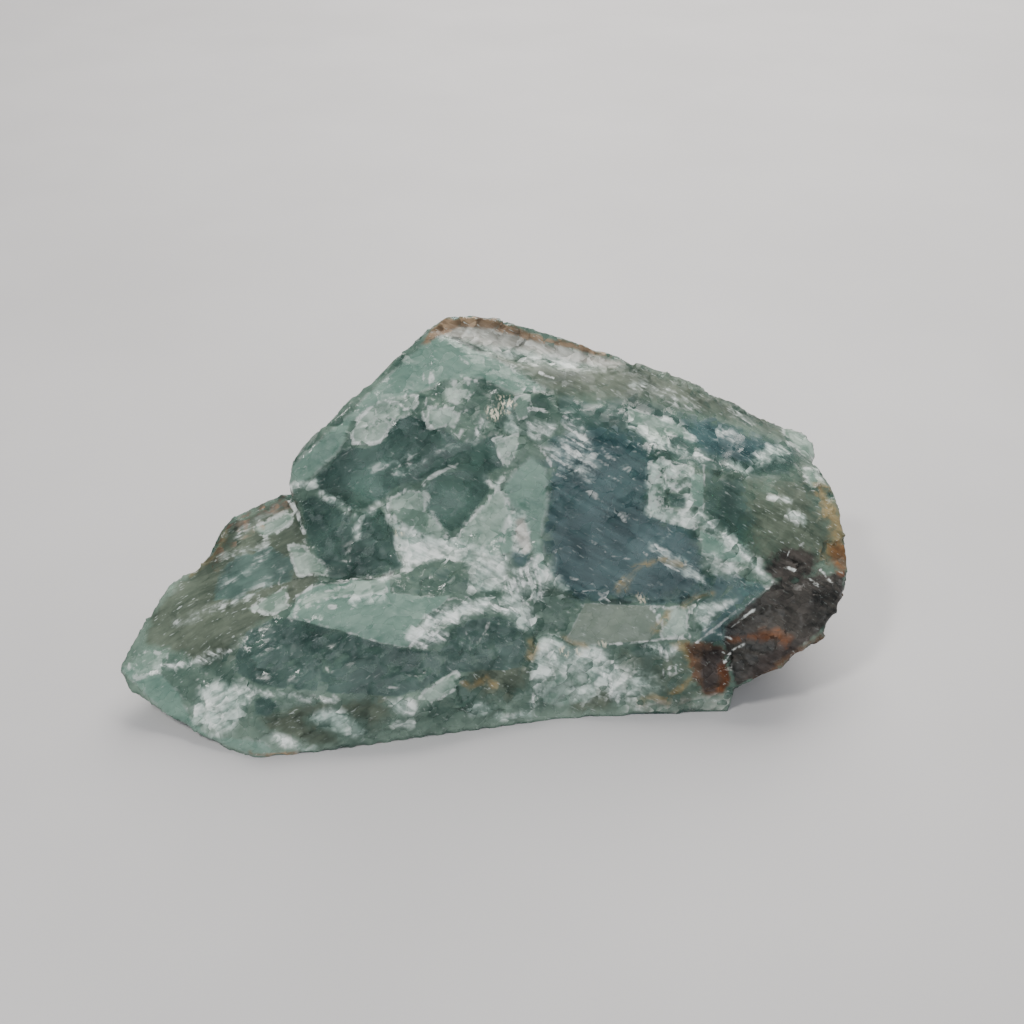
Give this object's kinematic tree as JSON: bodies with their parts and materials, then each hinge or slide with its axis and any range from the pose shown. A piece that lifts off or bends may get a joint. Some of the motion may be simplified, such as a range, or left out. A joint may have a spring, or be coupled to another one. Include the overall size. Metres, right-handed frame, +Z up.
{
  "type": "rough fluorite specimen",
  "caption": "Rough lump of translucent green fluorite with flat cleavage faces, ledges, pale fracture veils and an iron-stained end, resting on a flat broken face.",
  "frame": {"origin": "on the resting surface, under the middle of the lump's box", "axes": "+Z up, away from the flat face that it rests on; +X along the length, from the low pale toe to the high brown end; +Y towards the steep back; the pictured side faces -Y"},
  "size_m": [0.073, 0.043, 0.0303],
  "materials": {
    "green_fluorite": "broken and cleaved translucent green fluorite, glassy on the flat faces, with white fracture veils and brown iron staining"
  },
  "bodies": {
    "root": {"fluorite": "green_fluorite"}
  },
  "joints": []
}
